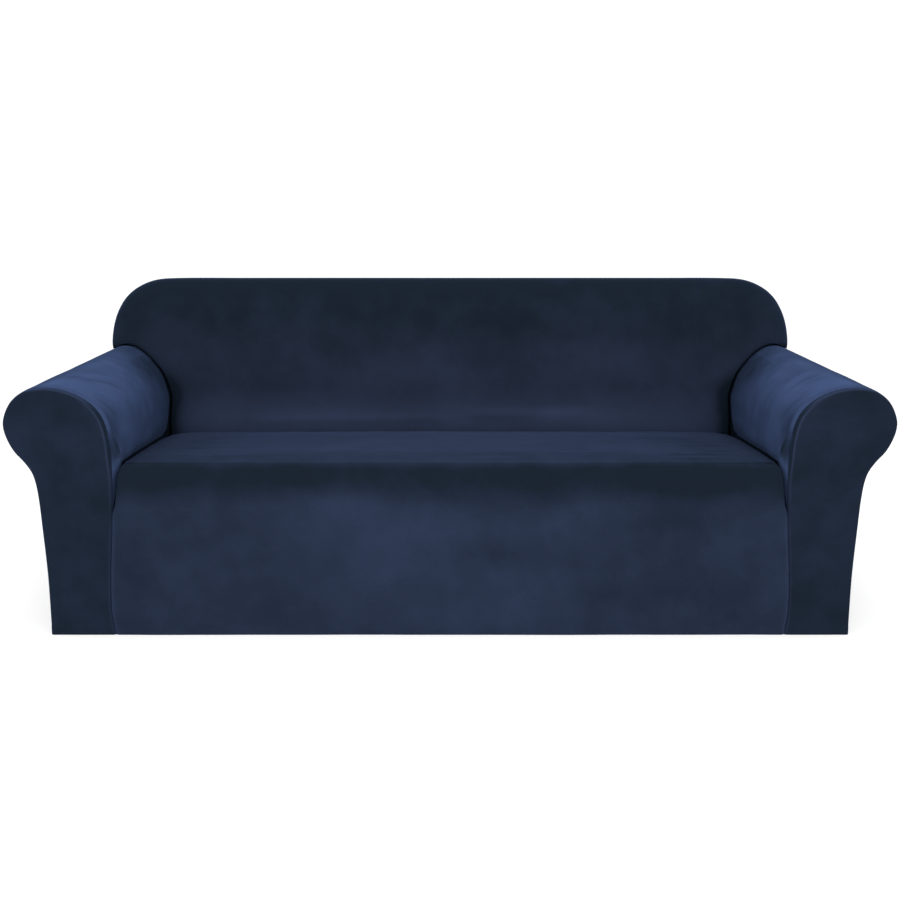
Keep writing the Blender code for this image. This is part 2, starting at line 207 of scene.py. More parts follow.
def stations(*marks):
    """Places from the first mark to the last, each mark a place and the spacing there."""
    marks = np.array(marks, float)
    line = np.linspace(marks[0, 0], marks[-1, 0], 6000)
    rate = 1 / np.interp(line, marks[:, 0], marks[:, 1])
    count = np.concatenate([[0], np.cumsum((rate[1:] + rate[:-1]) / 2 * np.diff(line))])
    steps = max(int(math.ceil(count[-1])), 1)
    return np.interp(np.linspace(0, count[-1], steps + 1), count, line)


ROLL_OUT = 0.943       # top of the roll, from the middle
NECK_UP = 0.500        # height at which the inner face meets the roll
OUTER_UP = 0.420       # height at which the outer face meets the roll
STAND_OUT = 0.9650     # side of the back, from the middle
SHOULDER_OUT = 0.843   # inner shoulder of the roll, from the middle

ROLL = Curve(ARM)
CROWN_S = ROLL.find(0, ROLL_OUT, 0.25, 0.60)
NECK_S = ROLL.find(1, NECK_UP, 0.15, CROWN_S)
OUTER_S = ROLL.find(1, OUTER_UP, 0.60, 0.85)
STAND_S = ROLL.find(0, STAND_OUT, CROWN_S, 0.60)
SHOULDER_S = ROLL.find(0, SHOULDER_OUT, NECK_S, CROWN_S)
foot_at, tail_at, edge_at, face_at = (table(rows) for rows in (FOOT, TAIL, ARM_EDGE, FACE))
INNER = np.array(ROLL.at(np.linspace(0, NECK_S, 200)))
UPWARD = np.argsort(INNER[1])

# Slow unevenness of the arm cloth towards its rear. Place round the section in metres from
# its inner foot, half width, rise.
NECK_AT, OUTSIDE_AT = float(ROLL.length(NECK_S)), 0.655
REAR_SHAPE = ((float(ROLL.length(SHOULDER_S)), 0.105, -0.007), (OUTSIDE_AT, 0.080, 0.005))
NECK_EASE = (NECK_AT - 0.025, 0.075, 0.003)


# Steps round the roll from NECK_S to OUTER_S: the ends of a front panel's top edge, and
# where the back's edge starts to round wider.
ROLL_STEPS, TOP_FROM, TOP_TO, WIDE_FROM = 19, 4, 12, 6.2


def roll_at(step):
    """Place on the section at a step round the roll."""
    return NECK_S + (OUTER_S - NECK_S) * step / ROLL_STEPS


def seat_level(depth):
    """Height of the seat at its sides."""
    return SEAT_FRONT - SEAT_FALL * np.asarray(depth, float)


def swell(depth):
    """How far the arm cloth stands out of its end seams."""
    return SWELL * (1 - fall(depth - LIP, 0.012)) * (1 - fall(DEPTH - LIP - depth, 0.020))


def wall(depth, up):
    """Inner face of the arm below the roll."""
    depth, up = np.broadcast_arrays(np.asarray(depth, float), np.asarray(up, float))
    seam = np.interp(up, INNER[1][UPWARD], INNER[0][UPWARD])
    plain = seam - swell(depth)
    foot = tail_at(up) + (foot_at(depth) - tail_at(up)) * blend(0.03, 0.16, depth)
    foot += (foot_at(depth) - foot) * blend(0.425, 0.455, up)
    low = blend(NECK_UP, seat_level(depth) + 0.012, up)
    front, tail = blend(LIP, 0.030, depth), blend(TAIL[0][0], TAIL[1][0], up)
    body = seam + (plain + (foot - plain) * low - seam) * front * tail
    return np.where(up < TAIL[0][0], seam, body)


def section(depth, s):
    """Point and outward normal of the arm's cloth at a depth."""
    depth, s = np.broadcast_arrays(np.asarray(depth, float), np.asarray(s, float))
    x, z = ROLL.at(s)
    nx, nz = ROLL.normal(s)
    out = swell(depth) * np.maximum(blend(1.000, 0.930, x), 0.15)
    rise = LIFT * blend(0.02, 0.56, depth) * blend(0.50, 0.60, z) * blend(1.000, 0.890, x)
    rear, along = blend(0.15, 0.56, depth), ROLL.length(s)
    for place, half, height in REAR_SHAPE:
        out += height * rear * bump(place, half, along)
    place, half, width = NECK_EASE
    ease = width * rear * bump(place, half, along)
    low = s <= NECK_S
    return (
        np.where(low, wall(depth, z), x + nx * out) + ease,
        np.where(low, z, z + nz * out + rise),
        nx, nz,
    )


def face(x, z):
    """Depth of the back's face, fuller in its middle."""
    full = 0.006 * (1 - (x / 0.97) ** 2) * blend(0.42, 0.55, z) * blend(0.82, 0.66, z)
    return face_at(z) - full


# Cloth meshes.

SHARP_DEGREES = 60


class Cloth:
    """Outer face of a panel: points with two coordinates of their own, and quads."""

    def __init__(self):
        self.points, self.own, self.quads, self.count = [], [], [], 0

    def grid(self, x, depth, z, a, b, keep=None):
        """Add a grid of rows by columns and return its point numbers."""
        x, depth, z, a, b = np.broadcast_arrays(x, depth, z, a, b)
        high, wide = x.shape
        ids = self.count + np.arange(high * wide).reshape(high, wide)
        self.points.append(np.stack([x, depth - DEPTH / 2, z], -1).reshape(-1, 3))
        self.own.append(np.stack([a, b], -1).reshape(-1, 2))
        self.count += high * wide
        quads = np.stack([ids[:-1, :-1], ids[:-1, 1:], ids[1:, 1:], ids[1:, :-1]], -1)
        if keep is not None:
            quads = quads[keep]
        self.quads.append(quads.reshape(-1, 4))
        return ids

    def strip(self, first, second):
        """Join two equal chains of point numbers."""
        first, second = np.asarray(first), np.asarray(second)
        self.quads.append(np.stack([first[:-1], first[1:], second[1:], second[:-1]], -1))

    def extend(self, chain, x, depth, z, a, b):
        """Add a row of points, join it to a chain, and return it as the next chain."""
        row = self.grid(*np.atleast_2d(x, depth, z, a, b))[0]
        self.strip(chain, row)
        return row

    def arrays(self):
        """Used points, their own coordinates, and the quads."""
        points = np.concatenate(self.points)
        own = np.concatenate(self.own)
        quads = np.concatenate(self.quads)
        used = np.unique(quads)
        number = np.full(len(points), -1)
        number[used] = np.arange(len(used))
        return points[used], own[used], number[quads]


def normals(points, quads):
    """Unit normals of the points, weighted by area."""
    p = points[quads]
    across = np.cross(p[:, 2] - p[:, 0], p[:, 3] - p[:, 1])
    total = np.zeros_like(points)
    for k in range(4):
        np.add.at(total, quads[:, k], across)
    size = np.linalg.norm(total, axis=1, keepdims=True)
    return total / np.maximum(size, 1e-12)


def border(quads, count):
    """Directed edges that belong to one quad only."""
    edges = np.concatenate([quads[:, [k, (k + 1) % 4]] for k in range(4)])
    key = edges[:, 0] * count + edges[:, 1]
    back = edges[:, 1] * count + edges[:, 0]
    return edges[~np.isin(key, back)]


def put(name, data):
    """Add an object with its data to the scene."""
    thing = bpy.data.objects.new(name, data)
    bpy.context.scene.collection.objects.link(thing)
    return thing


def sew(node, cloth, relief, nap_and_shade, materials, flip=False, split=None):
    """relief, the tone function and split each take a place on the cloth as x, depth, z and the
    panel's own a and b, and give a height in metres, a tone with painted light and shade, and the
    number of a material.
    """
    name = node + "_velvet"
    points, own, quads = cloth.arrays()
    if flip:
        quads = quads[:, ::-1]
    count = len(points)
    edges = border(quads, count)
    outward = normals(points, quads)
    spot = points[:, 0], points[:, 1] + DEPTH / 2, points[:, 2], own[:, 0], own[:, 1]
    points = points + outward * relief(*spot)[:, None]
    outward = normals(points, quads)
    tone = np.broadcast_to(nap_and_shade(*spot), (count,))
    points[:, 2] = np.maximum(points[:, 2], 0.0)
    lining = points - outward * CLOTH
    lining[:, 2] = np.maximum(lining[:, 2], 0.0)
    rims = np.stack([edges[:, 1], edges[:, 0], edges[:, 0] + count, edges[:, 1] + count], -1)
    faces = np.concatenate([quads, quads[:, ::-1] + count, rims])
    mesh = bpy.data.meshes.new(name)
    mesh.vertices.add(2 * count)
    mesh.vertices.foreach_set("co", np.concatenate([points, lining]).ravel())
    mesh.loops.add(4 * len(faces))
    mesh.loops.foreach_set("vertex_index", faces.astype(np.int32).ravel())
    mesh.polygons.add(len(faces))
    mesh.polygons.foreach_set("loop_start", np.arange(0, 4 * len(faces), 4, dtype=np.int32))
    mesh.polygons.foreach_set("loop_total", np.full(len(faces), 4, dtype=np.int32))
    mesh.update(calc_edges=True)
    mesh.validate()
    mesh.shade_smooth()
    mesh.set_sharp_from_angle(angle=math.radians(SHARP_DEGREES))
    # Tone of the pile with its painted light and shade, kept on the points.
    tone_and_shade_layer = mesh.attributes.new("nap_and_shade", "FLOAT", "POINT")
    tone_and_shade_layer.data.foreach_set("value", np.concatenate([tone, tone]).astype(np.float32))
    for material in materials:
        mesh.materials.append(material)
    if split is not None:
        which = np.asarray(split(*(v[quads].mean(axis=1) for v in spot))).astype(np.int32)
        slots = np.zeros(len(faces), np.int32)
        slots[:len(quads)] = which
        slots[len(quads):2 * len(quads)] = which
        mesh.polygons.foreach_set("material_index", slots)
    piece = put(name, mesh)
    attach(piece, "root")
    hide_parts(node)


# Panels.

# Rounding of a sewn outer edge: how far in from the seam, and back from the panel's face.
SEWN_EDGE = [
    (PIPE * (1 - math.sin(a)), PIPE * (1 - math.cos(a))) for a in np.radians(range(15, 91, 15))
] + [(0.0, LIP)]


def around(grid):
    """Left, top and right border of a grid, in one run."""
    return np.concatenate([grid[:, 0], grid[-1, 1:], grid[-2::-1, -1]])


def spread(left, right, top, u, v, power=1):
    """Grid of places between a left, a right and a top edge, over a straight foot."""
    u, v = u[None, :, None], v[:, None, None]
    foot = left[0] + (right[0] - left[0]) * u
    row = foot + (top[None] - foot) * v
    off_left = left[:, None] - (left[0] + (left[-1] - left[0]) * v)
    off_right = right[:, None] - (right[0] + (right[-1] - right[0]) * v)
    return row + (1 - u) ** power * off_left + u ** power * off_right


def seat_front():
    """Seat and front drop in one length, a across and b from the hem to the seat's rear."""
    # Rows from the hem to the rear: depth, up, and the angle below level of the side's tuck.
    rear = SEAT_DEPTH - SEAM
    rows = [(0.0, up, 0) for up in (0.0, 0.05, 0.12, 0.21, ARM_EDGE[0][1])] + NOSE
    rows += [(d, float(seat_level(d)), 90) for d in (0.072, 0.12, 0.20, 0.30, 0.40, 0.49)]
    low = float(seat_level(rear - HEEL)) - HEEL
    for k in range(5):
        a = math.radians(22.5 * k)
        rows.append((rear - HEEL + HEEL * math.sin(a), low + HEEL * math.cos(a), 90 + 22.5 * k))
    rows.append((rear, low - 0.010, 180))
    line = [row[:2] for row in rows]
    path, chords = Curve(line), run(line)
    marks = path.length(chords / chords[-1])
    # The same way in finer rows, finest over the front edge.
    b = stations(
        (0.0, 0.004), (0.03, 0.008), (0.37, 0.008), (0.415, 0.003), (0.428, 0.0014),
        (0.450, 0.0016), (0.480, 0.005), (0.56, 0.008), (0.90, 0.008),
        (marks[-7], 0.004), (marks[-1], 0.003),
    )
    t = path.place(b)
    depth, up = (v[:, None] for v in path.at(t))
    angle = np.radians(np.interp(b, marks, [row[2] for row in rows]))[:, None]
    # The sides turn in that direction round an edge, and are tucked in beyond it.
    dy, dz = np.cos(angle), -np.sin(angle)
    upper = blend(20, 80, np.degrees(angle))
    turn = PIPE + DROP_SIDE + (SHOULDER - PIPE - DROP_SIDE) * upper
    tuck = DROP_TUCK + (TUCK - DROP_TUCK) * blend(0.30, 0.345, up)

    def edge(d, z):
        """Outermost place of the cloth beside an arm."""
        return wall(np.maximum(d, 0.030), z) - (SEAM + (NEST - SEAM) * blend(0.30, 0.34, z))

    reach = edge(depth + dy * turn, up + dz * turn)
    far = tuck + (turn - tuck) * np.linspace(0, 1, 5)[None, :-1]
    a = np.radians(np.linspace(0, 90, 9))[None, :]
    near = turn * (1 - np.sin(a))
    side = np.concatenate([far, near], axis=1)
    x = np.concatenate(
        [edge(depth + dy * far, up + dz * far), reach - turn * (1 - np.cos(a))], axis=1
    )
    u = stations((-1, 0.006), (-0.9, 0.0090), (0.9, 0.0090), (1, 0.006))[1:-1][None, :]
    crown = CROWN * (1 - u ** 4) * blend(0.02, 0.12, depth)
    crown *= 1 - 0.75 * blend(0.40, 0.555, depth)
    half = x[:, -1:]
    side_depth, side_up = depth + dy * side, up + dz * side
    xs = np.concatenate([-x, half * u, x[:, ::-1]], axis=1)
    ds = np.concatenate([side_depth, depth + 0 * u, side_depth[:, ::-1]], axis=1)
    zs = np.concatenate([side_up, up + crown, side_up[:, ::-1]], axis=1)
    cloth = Cloth()
    cloth.grid(xs, ds, zs, xs, b[:, None])
    return cloth


def inner_at(up):
    """Where the inner face of the arm's section reaches a height."""
    s = np.linspace(0, NECK_S, 400)
    return np.interp(up, ROLL.at(s)[1], s)


def low_s(depth):
    """Where the arm cloth starts beside the seat."""
    tucked = seat_level(depth) - 0.040
    under = edge_at(depth) + (tucked - edge_at(depth)) * blend(0.04, 0.08, depth)
    return inner_at(under)


def arm_cover(side):
    """Cloth of one arm, a running back from its front plane and b round the section."""
    outer_at, foot_end = float(ROLL.length(OUTER_S)), float(ROLL.length(1.0))
    roll = ROLL.place(stations((NECK_AT, 0.006), (outer_at, 0.006)))
    outer = ROLL.place(stations((outer_at, 0.006), (foot_end, 0.008)))[1:]
    start = LIP + SEAM
    near_back = 0.545
    front = stations((start, 0.0012), (0.03, 0.0035), (0.08, 0.006), (near_back, 0.006))
    ends = np.linspace(0, 1, 9)[1:]
    rears = np.linspace(0, 1, 30)[1:]

    def columns(depth):
        """Places round the section, with one line kept at the mouth of the seat's tuck."""
        first, beside = low_s(depth), inner_at(seat_level(depth) - TUCKED)
        under, over = np.linspace(0, 1, 8)[:-1], np.linspace(0, 1, 20)[:-1]
        tucked, shown = first + (beside - first) * under, beside + (NECK_S - beside) * over
        return np.concatenate([tucked, shown, roll, outer])

    up = np.clip(ROLL.at(columns(0.5))[1], 0.45, 0.63)
    end = face(0.85, up) + TUCK
    rear = DEPTH - LIP - SEAM
    depth = [np.full(len(up), d) for d in front]
    depth += [near_back + (end - near_back) * e for e in ends]
    turn = len(depth) - 1
    depth += [end + (rear - end) * r for r in rears]
    depth = np.array(depth)
    s = np.array([columns(float(row[0]) if j <= turn else 0.6) for j, row in enumerate(depth)])
    x, z, _, _ = section(depth, s)
    trimmed = (x < 0.950) & (s < CROWN_S + 0.02)
    cut = np.nonzero(trimmed.any(axis=0))[0].max()
    keep = np.ones((depth.shape[0] - 1, depth.shape[1] - 1), bool)
    keep[turn:, :cut] = False
    cloth = Cloth()
    cloth.grid(x * side, depth, z, depth, ROLL.length(s), keep)
    return cloth


def arm_front(side):
    """Scroll-shaped panel of one arm, a its width and b its height."""
    # The arm's section is split into the panel's left, top and right edges.
    lengths = ROLL.length(np.array([0.0, roll_at(TOP_FROM), roll_at(TOP_TO), 1.0]))
    left = ROLL.place(np.linspace(lengths[0], lengths[1], 100))
    top = ROLL.place(np.linspace(lengths[1], lengths[2], 42))
    right = ROLL.place(np.linspace(lengths[3], lengths[2], 100))

    def inset(s, by):
        """Places at a distance inside the seam."""
        x, z = ROLL.at(s)
        nx, nz = ROLL.normal(s)
        ends = (s < 0.001) | (s > 0.999)
        nx = np.where(ends, np.where(s < 0.5, -1.0, 1.0), nx)
        nz = np.where(ends, 0.0, nz)
        return np.stack([x - nx * by + SEAM / 2 * (s < NECK_S), z - nz * by], -1)

    u, v = np.linspace(0, 1, len(top)), np.linspace(0, 1, len(left))
    flat = spread(inset(left, RIM), inset(right, RIM), inset(top, RIM), u, v)
    x, z = flat[..., 0], flat[..., 1]
    cloth = Cloth()
    held = around(cloth.grid(x * side, 0.0, z, x, z))
    seam = np.concatenate([left, top[1:], right[-2::-1]])
    flat_rings = (0.0250, 0.0220, 0.0190, 0.0165, 0.0140, 0.0120, 0.0100, 0.0080, PIPE)
    for by, depth in [(by, 0.0) for by in flat_rings] + SEWN_EDGE:
        out, up = inset(seam, by).T
        held = cloth.extend(held, out * side, depth, np.maximum(up, 0.0), out, up)
    return cloth


def back_edge(s, depth):
    """Edge of the back beside the arm, and where its rounding starts."""
    x, z, nx, nz = section(depth, s)
    corner = blend(0.88, 0.974, x) * (s > NECK_S)
    out = x + nx * NEST, z + nz * NEST + 0.0008 * corner
    return out, (out[0] + nx * GROOVE - 0.014 * corner, out[1] + nz * GROOVE + 0.003 * corner)


def outline_at(depth):
    """Points and normals of the back's outline above the arms at a depth, left to right."""
    corner = tuple(float(v) for v in back_edge(STAND_S, depth)[0])
    half = [corner] + BACK
    line = Curve(half + [(-x, z) for x, z in half[-2::-1]], fine=160)
    return np.stack(line.at(1 - TOP_T) + list(line.normal(1 - TOP_T)), -1)


# The outline, worked out once at a row of depths and read between them.
TOP_DEPTHS, TOP_T = np.linspace(0.55, DEPTH, 34), np.linspace(0, 1, 1500)
TOPS = np.array([outline_at(depth) for depth in TOP_DEPTHS])
TOP_LENGTH = run(TOPS[4, :, :2])


def back_top(t, depth, drop):
    """Outline of the back above the arms from left to right, set in by drop."""
    t, depth, drop = np.broadcast_arrays(*(np.asarray(v, float) for v in (t, depth, drop)))
    step = TOP_DEPTHS[1] - TOP_DEPTHS[0]
    i = np.clip((depth - TOP_DEPTHS[0]) / step, 0, len(TOP_DEPTHS) - 1.001)
    k = np.clip(t, 0, 1) * (len(TOP_T) - 1.001)
    i0, k0 = i.astype(int), k.astype(int)
    back, along = (i - i0)[..., None], (k - k0)[..., None]
    value = (
        (TOPS[i0, k0] * (1 - along) + TOPS[i0, k0 + 1] * along) * (1 - back)
        + (TOPS[i0 + 1, k0] * (1 - along) + TOPS[i0 + 1, k0 + 1] * along) * back
    )
    x, z, nx, nz = (value[..., n] for n in range(4))
    z -= REAR_FALL * blend(0.66, DEPTH, depth) * blend(0.64, 0.80, z)
    return x + nx * drop, z + nz * drop


def inside_back():
    """Cloth over the front, top and sides of the back, a its width and b its own height."""
    # The face, set in from the arms and from the outline for its rounded edge.
    foot = float(face(0.85, 0.45))
    low, stand = (float(ROLL.length(s)) for s in (float(low_s(foot)), STAND_S))
    side_s = ROLL.place(stations((low, 0.006), (stand - 0.02, 0.006), (stand, 0.004)))
    total = TOP_LENGTH[-1]
    t = stations((0, 0.006), (total / 2, 0.0072), (total, 0.006))
    t = np.interp(t, TOP_LENGTH, TOP_T)
    high, wide = len(side_s), len(t)
    near = np.minimum(t, 1 - t)
    corner = [float(v) for v in back_edge(STAND_S, foot)[1]]
    right = np.stack(back_edge(side_s, foot)[1], -1)
    drop = CORNER_EDGE + (BACK_EDGE - CORNER_EDGE) * blend(0, 0.072, near)
    top = np.stack(back_top(t, foot, drop), -1)
    ends = np.stack([np.where(t > 0.5, corner[0], -corner[0]), np.full(wide, corner[1])], -1)
    top = ends + (top - ends) * blend(0, 0.0288, near)[:, None]
    u = np.interp(t, TOP_T, TOP_LENGTH / total)
    u = 0.35 * u + 0.65 * (top[:, 0] - top[0, 0]) / (top[-1, 0] - top[0, 0])
    walk = run(right)
    flat = spread(right * (-1, 1), right, top, u, walk / walk[-1], power=3)
    x, z = flat[..., 0], flat[..., 1]
    cloth = Cloth()
    held = around(cloth.grid(x, face(x, z), z, x, z))

    # The rounded edge, tight beside the arms and wide over the top, and the side tucks.
    edge_x, edge_z = around(x), around(z)
    edge_depth = face(edge_x, edge_z)
    aside = np.ones(len(held), bool)
    aside[high:-high] = False
    s = np.zeros(len(held))
    s[:high], s[-high:] = side_s, side_s[::-1]
    edge_t = t[np.clip(np.arange(len(held)) - high + 1, 0, wide - 1)]
    turn = np.where(
        aside,
        GROOVE + (SIDE_EDGE - GROOVE) * blend(roll_at(WIDE_FROM), STAND_S, s),
        SIDE_EDGE + (BACK_EDGE + 0.010 - SIDE_EDGE) * blend(0, 0.1, np.minimum(edge_t, 1 - edge_t)),
    )
    lean = (face(edge_x, edge_z + 0.004) - face(edge_x, edge_z - 0.004)) / 0.008
    rise = np.where(aside, 0.0, lean * (back_top(edge_t, edge_depth + turn, 0.0)[1] - edge_z))

    def ring(angle, beyond):
        """Points of the edge's rounding at an angle, then beyond it into the side tuck."""
        f = math.sin(angle)
        depth = edge_depth + turn * (1 - math.cos(angle)) + rise * f * math.cos(angle) ** 2
        last = np.where(aside, np.maximum(edge_depth + TUCK, depth + 0.008), depth + 0.008)
        depth += (last - depth) * beyond
        (arm_x, arm_z), _ = back_edge(s, depth)
        top_x, top_z = back_top(edge_t, depth, 0.0)
        out_x = np.where(aside, np.sign(edge_x) * arm_x, top_x)
        out_z = np.where(aside, arm_z, top_z)
        return edge_x + (out_x - edge_x) * f, depth, edge_z + (out_z - edge_z) * f

    degrees = (5, 12, 20, 29, 38, 47, 56, 65, 74, 82, 90)
    steps = [(math.radians(angle), 0.0) for angle in degrees]
    steps += [(math.pi / 2, beyond) for beyond in (0.33, 0.66, 1.0)]
    for angle, beyond in steps:
        x, depth, z = ring(angle, beyond)
        held = cloth.extend(held, x, depth, z, x, z + (depth - edge_depth))

    # The top, back to the rear seam.
    over = slice(high - 1, high + wide - 1)
    start, held = depth[over], held[over]
    for f in stations((0, 0.035), (0.9, 0.04), (1, 0.01))[1:]:
        depth = start + (DEPTH - LIP - SEAM - start) * f
        x, z = back_top(t, depth, 0.0)
        held = cloth.extend(held, x, depth, z, x, z + depth - foot)
    return cloth


def outside_back():
    """Panel that closes the rear, a its width and b its height."""
    rear = DEPTH - LIP
    stand, foot_end = float(ROLL.length(STAND_S)), float(ROLL.length(1.0))
    s = ROLL.place(stations((stand, 0.008), (foot_end, 0.012)))[::-1]
    bend = 0.160
    bend_at = float(np.interp(bend, TOP_T, TOP_LENGTH))
    ups = np.interp(stations((0, 0.008), (bend_at, 0.008)), TOP_LENGTH, TOP_T)[1:]
    high = len(s) + len(ups)
    u = np.linspace(-1, 1, 161)
    tops = 0.5 + (0.5 - bend) * u

    def right(by):
        """Right edge from the hem to where the top turns level, set in by by."""
        x, z, nx, nz = section(rear, s)
        nx = np.where(s > 0.999, 1.0, nx)
        nz = np.where(s > 0.999, 0.0, nz)
        tx, tz = back_top(1 - ups, rear, by)
        return np.concatenate([x - nx * by, tx]), np.concatenate([z - nz * by, tz])

    x, z = right(PIPE)
    top_x, top_z = back_top(tops, rear, PIPE)
    grow = blend(0.6, 1.0, np.arange(high) / (high - 1))
    x = x[:, None] * u[None]
    z = z[:, None] + (top_z - top_z[0])[None] * grow[:, None]
    x[-1] = top_x
    cloth = Cloth()
    held = around(cloth.grid(x, DEPTH, z, x, z))
    for by, under in SEWN_EDGE:
        x, z = right(by)
        top_x, top_z = back_top(tops, rear, by)
        x = np.concatenate([-x, top_x[1:], x[-2::-1]])
        z = np.maximum(np.concatenate([z, top_z[1:], z[-2::-1]]), 0.0)
        held = cloth.extend(held, x, DEPTH - under, z, x, z)
    return cloth


# Folds and unevenness of the stretched cloth.


def cloud(x, y, size, seed):
    """Smooth noise between about -1 and 1 with lumps of a given size."""
    rng = np.random.RandomState(seed)
    lattice = rng.uniform(-1, 1, (64, 64))
    x, y = np.asarray(x) / size + 17.3, np.asarray(y) / size + 11.7
    x0, y0 = np.floor(x).astype(int), np.floor(y).astype(int)
    fx, fy = x - x0, y - y0
    fx, fy = fx ** 3 * (fx * (6 * fx - 15) + 10), fy ** 3 * (fy * (6 * fy - 15) + 10)
    a, b = lattice[x0 % 64, y0 % 64], lattice[(x0 + 1) % 64, y0 % 64]
    c, d = lattice[x0 % 64, (y0 + 1) % 64], lattice[(x0 + 1) % 64, (y0 + 1) % 64]
    return (a * (1 - fx) + b * fx) * (1 - fy) + (c * (1 - fx) + d * fx) * fy


def fold(x, y, start, end, width, height, ends=0.35):
    """Ridge along a straight line, fading towards its two ends."""
    sx, sy = start
    ex, ey = end
    size = math.hypot(ex - sx, ey - sy)
    along = ((x - sx) * (ex - sx) + (y - sy) * (ey - sy)) / size ** 2
    off = ((x - sx) * (ey - sy) - (y - sy) * (ex - sx)) / size
    within = blend(0, ends, along) * blend(1, 1 - ends, along)
    return height * bell(off, width) * within


def hem(up):
    """Turned hem with its sewn line a thumb's width above the edge."""
    return 0.0007 * blend(HEM + 0.0015, HEM - 0.0015, up) - 0.0006 * bump(HEM, 0.0028, up)


def patches(x, y, spots):
    """Sum of soft oval patches. x, y, half width, half height, amount."""
    total = 0.0
    for cx, cy, rx, ry, amount in spots:
        total += amount * np.exp(-((x - cx) / rx) ** 2 - ((y - cy) / ry) ** 2)
    return total


def nearest(points, x, z):
    """Distance from each place to the nearest of some points of the right half."""
    x, z = np.abs(np.asarray(x, float)), np.asarray(z, float)
    best = np.full(x.shape, 9.0)
    for px, pz in points.T:
        best = np.minimum(best, np.hypot(x - px, z - pz))
    return best


ARM_LINE = np.array(section(0.575, np.linspace(float(low_s(0.57)), STAND_S, 90))[:2])
SEAM_LINE = np.array(ROLL.at(np.linspace(0, 1, 900)))


def from_arm(x, z):
    """Distance in the back's face from its edge along the arm."""
    return nearest(ARM_LINE, x, z)


def from_seam(x, z):
    """Distance on a front panel from its sewn edge."""
    return nearest(SEAM_LINE, x, z)


def shut(depth, x, z):
    """1 at the mouth of the back's side tuck, 0 where it closes."""
    return blend(0.025, 0.012, depth - face(x, z))


# Low cross folds of the seat. x, depth, half length, amount.
WRINKLES = (
    (0.60, 0.06, 0.10, 0.20), (0.66, 0.12, 0.08, 0.26), (0.64, 0.20, 0.10, 0.22),
    (0.58, 0.32, 0.12, 0.16), (0.10, 0.05, 0.09, 0.16), (0.30, 0.10, 0.10, 0.18),
    (-0.62, 0.16, 0.09, 0.20), (-0.55, 0.08, 0.10, 0.16), (-0.66, 0.30, 0.07, 0.18),
    (-0.10, 0.42, 0.30, 0.10),
)


def wrinkles(x, depth):
    """The seat's cross folds, each a ridge with a hollow behind it."""
    total = 0.0
    for cx, cd, half, amount in WRINKLES:
        left, right = cx - half, cx + half
        total += fold(x, depth, (left, cd), (right, cd + 0.012), 0.010, amount)
        total -= fold(x, depth, (left, cd + 0.026), (right, cd + 0.038), 0.012, 0.6 * amount)
    return total


def rear_corner(x, depth):
    """1 in the seat's rear corners, fading away from them."""
    out, back = (np.abs(x) - 0.815) / 0.050, (depth - SEAT_DEPTH) / 0.110
    return np.exp(-out ** 2 - back ** 2)


def from_side(x, depth, z):
    """Distance of the seat's cloth from the arm beside it."""
    return wall(np.maximum(depth, 0.03), z) - np.abs(x)


def relief_seat(x, depth, z, a, b):
    """Low swelling, sunk beside the arms and where the seat, an arm and the drop meet."""
    inner = blend(0.81, 0.74, np.abs(a))
    lift = 0.0011 * cloud(a, b, 0.16, 3) + 0.0005 * cloud(a, b, 0.06, 4)
    lift = lift * inner + hem(np.where(depth < 0.02, z, 1.0))
    top = blend(0.012, 0.03, depth)
    reach = from_side(x, depth, z)
    below = seat_level(depth) - z
    lip = fall(reach, 0.010) * blend(0.024, 0.008, below) * top
    side = blend(0.012, 0.002, reach) * blend(0.30, 0.36, z) * blend(0.012, 0.004, depth) * (1 - top)
    lift = lift - 0.0045 * lip - 0.0015 * side
    lift += (0.008 * wrinkles(x, depth) - 0.007 * rear_corner(x, depth)) * top
    side, up, back = np.maximum(reach, 0) / 0.016, (z - 0.432) / 0.014, (depth - 0.010) / 0.022
    return lift - 0.006 * np.exp(-side ** 2 - up ** 2 - back ** 2)


# Tone of the brushed pile with painted light and shade, from 0 for the deep tone to 1 for the light
# one.
# Front drop: x, up, half width, half height, amount.
DROP_TONES = (
    (-0.255, 0.335, 0.11, 0.035, 0.22), (-0.15, 0.20, 0.17, 0.13, 0.34),
    (0.11, 0.272, 0.24, 0.035, 0.20), (0.36, 0.315, 0.12, 0.035, 0.14),
    (0.17, 0.11, 0.13, 0.06, 0.18), (0.02, 0.05, 0.5, 0.05, 0.10),
    (-0.78, 0.16, 0.05, 0.12, -0.22), (0.70, 0.11, 0.07, 0.10, -0.20),
    (0.50, 0.29, 0.15, 0.035, -0.20), (-0.04, 0.35, 0.12, 0.03, -0.16),
    (0.24, 0.35, 0.06, 0.03, -0.16), (0.13, 0.205, 0.16, 0.02, -0.12),
    (0.42, 0.10, 0.18, 0.035, -0.14), (-0.10, 0.11, 0.10, 0.035, -0.10),
    (-0.55, 0.06, 0.14, 0.05, -0.16), (0.62, 0.36, 0.25, 0.04, -0.15),
    (-0.62, 0.24, 0.2, 0.12, -0.05),
)

# Seat: x, depth, half width, half depth, amount. The two at the sides are painted shade beside the
# arms.
SEAT_TONES = (
    (-0.10, 0.30, 0.45, 0.2, 0.12), (-0.74, 0.25, 0.22, 0.6, -0.38), (0.74, 0.25, 0.22, 0.6, -0.38),
)
